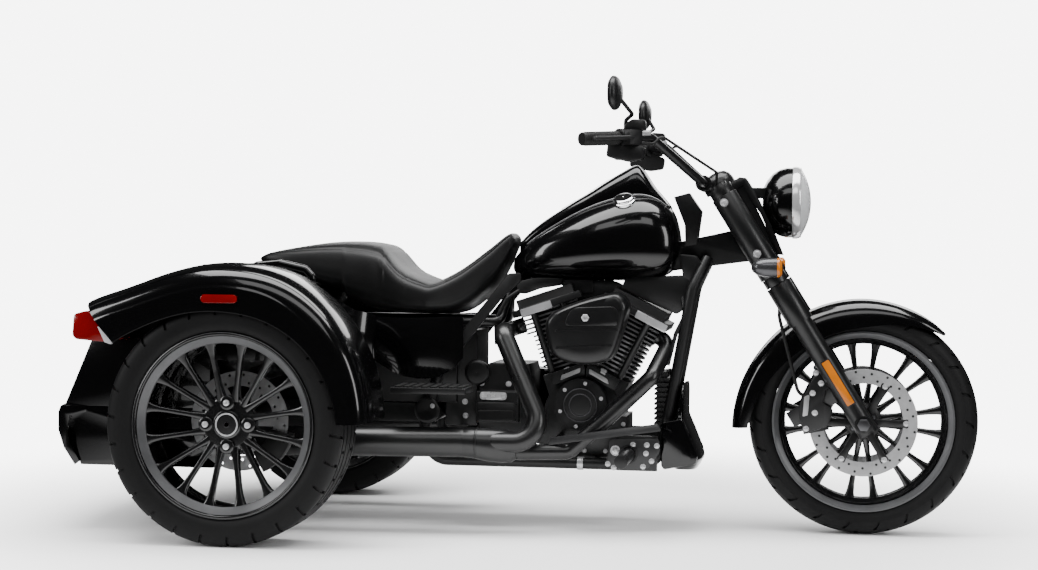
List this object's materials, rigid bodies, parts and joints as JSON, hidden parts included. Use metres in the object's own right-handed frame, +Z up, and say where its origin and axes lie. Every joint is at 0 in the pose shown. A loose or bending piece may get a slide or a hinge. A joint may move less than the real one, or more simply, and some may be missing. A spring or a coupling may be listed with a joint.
{
  "type": "motorized trike",
  "caption": "Three-wheeled road trike with a V-twin engine, raked fork, single steered front wheel, wide rear fenders and a lidded trunk behind a stepped two-up seat.",
  "frame": {"origin": "on the floor under the middle of the bounding box", "axes": "+X forward to the front wheel, +Y to the rider's left, +Z up"},
  "size_m": [2.58, 1.3586, 1.2551],
  "materials": {
    "tyre": "matte",
    "wheel_black": "satin",
    "disc_steel": "brushed",
    "fork_black": "satin",
    "axle_steel": "satin",
    "gloss_black": "gloss",
    "hose_rubber": "matte",
    "chrome": "polished",
    "lamp_glass": "clear",
    "grip_rubber": "matte",
    "control_black": "satin",
    "signal_grey": "satin",
    "amber": "clear",
    "frame_black": "satin",
    "engine_black": "satin",
    "fin_black": "satin with bright fin edges",
    "exhaust_black": "satin",
    "seat_vinyl": "matte",
    "red_lens": "clear",
    "bumper_grey": "satin"
  },
  "bodies": {
    "chassis": {"rear_calipers": "fork_black", "fuel_tank": "gloss_black", "tank_console": "gloss_black", "side_covers": "gloss_black", "rear_body": "gloss_black", "rear_fender_left": "gloss_black", "rear_fender_right": "gloss_black", "chin_fairing": "gloss_black", "passenger_boards": "control_black", "foot_controls": "control_black", "battery_box": "control_black", "frame_spine": "frame_black", "frame_cradle": "frame_black", "rear_axle": "frame_black", "engine_case": "engine_black", "rocker_boxes": "engine_black", "air_cleaner": "engine_black", "gearbox": "engine_black", "primary_cover": "engine_black", "cylinders": "fin_black", "exhaust_headers": "exhaust_black", "mufflers": "exhaust_black", "crossover_pipe": "exhaust_black", "seat": "seat_vinyl", "tail_lamps": "red_lens", "side_markers": "red_lens", "rear_bumper": "bumper_grey"},
    "front_wheel": {"front_tyre": "tyre", "front_rim": "wheel_black", "front_discs": "disc_steel"},
    "rear_wheel_left": {"rear_tyre_left": "tyre", "rear_rim_left": "wheel_black", "rear_disc_left": "disc_steel"},
    "rear_wheel_right": {"rear_tyre_right": "tyre", "rear_rim_right": "wheel_black", "rear_disc_right": "disc_steel"},
    "trunk_lid": {"trunk_lid": "gloss_black"},
    "steering": {"front_axle": "axle_steel", "fork_legs": "fork_black", "fork_clamps": "fork_black", "fork_covers": "gloss_black", "front_calipers": "fork_black", "front_fender": "gloss_black", "brake_hose": "hose_rubber", "headlamp_shell": "gloss_black", "headlamp_ring": "chrome", "headlamp_lens": "lamp_glass", "handlebar": "fork_black", "grips": "grip_rubber", "hand_controls": "control_black", "mirrors": "gloss_black", "turn_signals": "signal_grey", "turn_signal_lenses": "amber"}
  },
  "joints": [
    {"name": "steering", "type": "hinge", "parent": "chassis", "child": "steering", "pos_m": [0.67617, 0, 0.80891], "axis": [-0.4384, 0, 0.8988], "range_deg": [-35, 35]},
    {"name": "front_wheel_spin", "type": "hinge", "parent": "steering", "child": "front_wheel", "pos_m": [0.9707, 0, 0.3193], "axis": [0, 1, 0], "continuous": true},
    {"name": "rear_left_spin", "type": "hinge", "parent": "chassis", "child": "rear_wheel_left", "pos_m": [-0.6993, 0.56, 0.32085], "axis": [0, 1, 0], "continuous": true},
    {"name": "rear_right_spin", "type": "hinge", "parent": "chassis", "child": "rear_wheel_right", "pos_m": [-0.6993, -0.56, 0.32085], "axis": [0, 1, 0], "continuous": true},
    {"name": "trunk_lid_hinge", "type": "hinge", "parent": "chassis", "child": "trunk_lid", "pos_m": [-0.8253, 0, 0.734], "axis": [0, 1, 0], "range_deg": [0, 70]}
  ]
}
